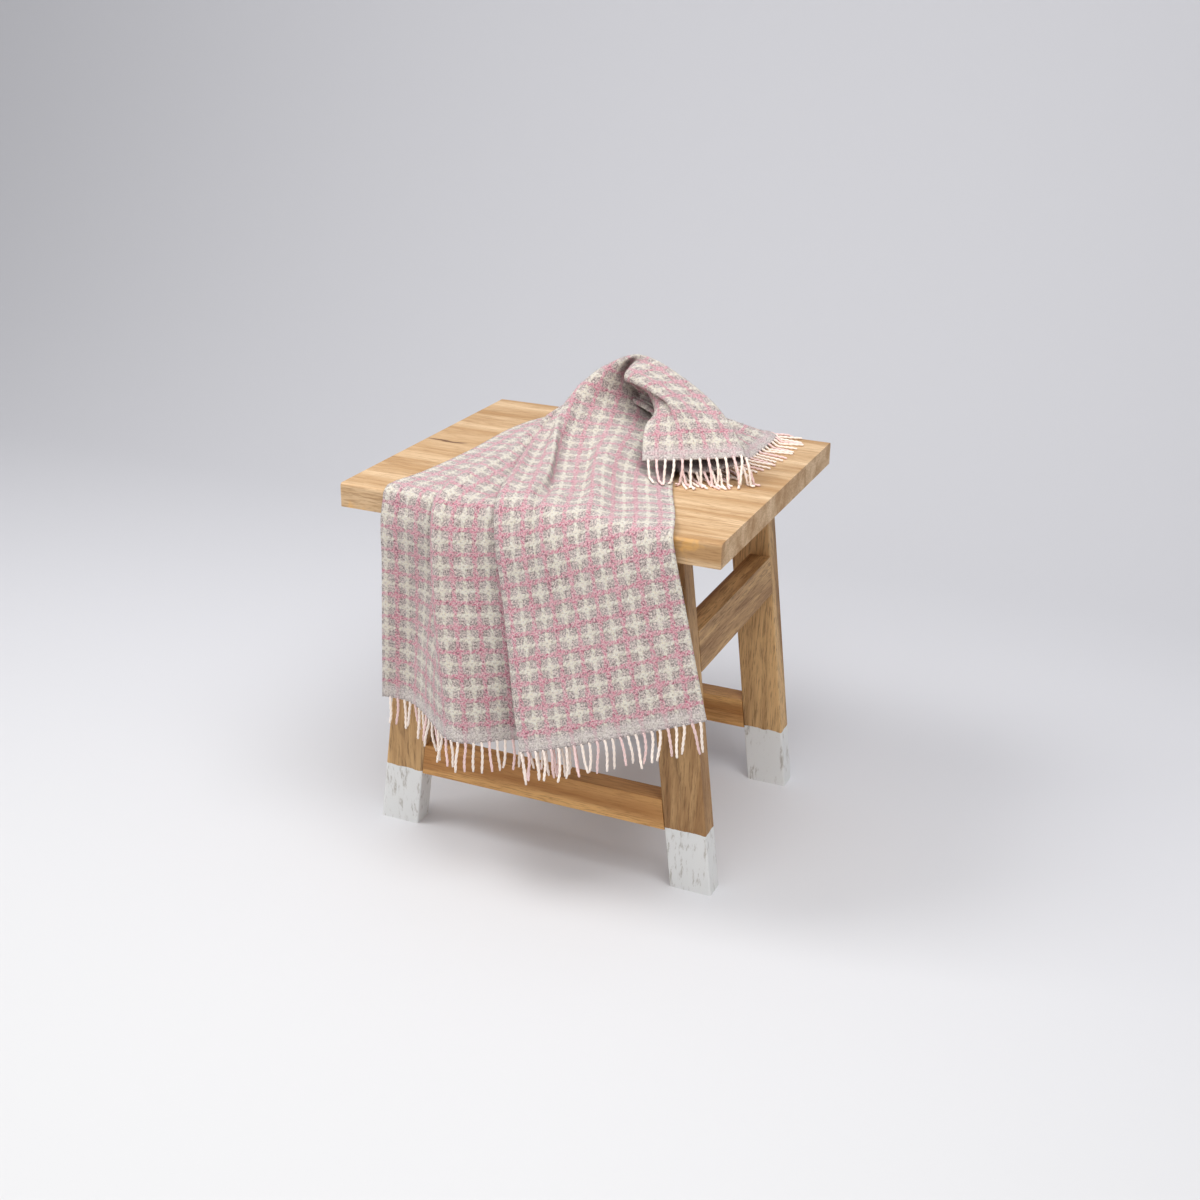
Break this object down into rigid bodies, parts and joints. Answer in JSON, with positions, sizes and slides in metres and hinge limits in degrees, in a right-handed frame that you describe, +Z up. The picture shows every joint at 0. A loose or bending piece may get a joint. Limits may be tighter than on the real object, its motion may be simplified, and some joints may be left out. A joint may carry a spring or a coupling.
{
  "type": "baby blanket draped over a stool",
  "caption": "Checked woollen baby blanket with twisted fringes, draped over a splay-legged wooden stool: one end hangs down the front, the other is gathered and turned over on top.",
  "frame": {"origin": "on the floor, under the middle of the whole object's bounding box", "axes": "+Z up; +X along the stool's front edge, to the right as seen from the hanging end of the blanket; +Y away from that end, towards the back of the stool"},
  "size_m": [0.5774, 0.6164, 0.7163],
  "materials": {
    "top_wood": "oiled, honey coloured, with knots and darker grain",
    "leg_wood": "oiled, browner, the feet dipped in worn white paint",
    "rail_wood": "oiled, warm brown",
    "wool_cloth": "brushed woollen check in pink, cream and grey",
    "wool_twist": "twisted woollen fringe, cream and pink"
  },
  "bodies": {
    "root": {"top_plank_1": "top_wood", "top_plank_2": "top_wood", "top_plank_3": "top_wood", "top_plank_4": "top_wood", "leg_front_left": "leg_wood", "leg_front_right": "leg_wood", "leg_back_left": "leg_wood", "leg_back_right": "leg_wood", "foot_rail_front": "rail_wood", "foot_rail_back": "rail_wood", "side_rail_left": "rail_wood", "side_rail_right": "rail_wood", "blanket": "wool_cloth", "front_fringe": "wool_twist", "far_fringe": "wool_twist"}
  },
  "joints": []
}
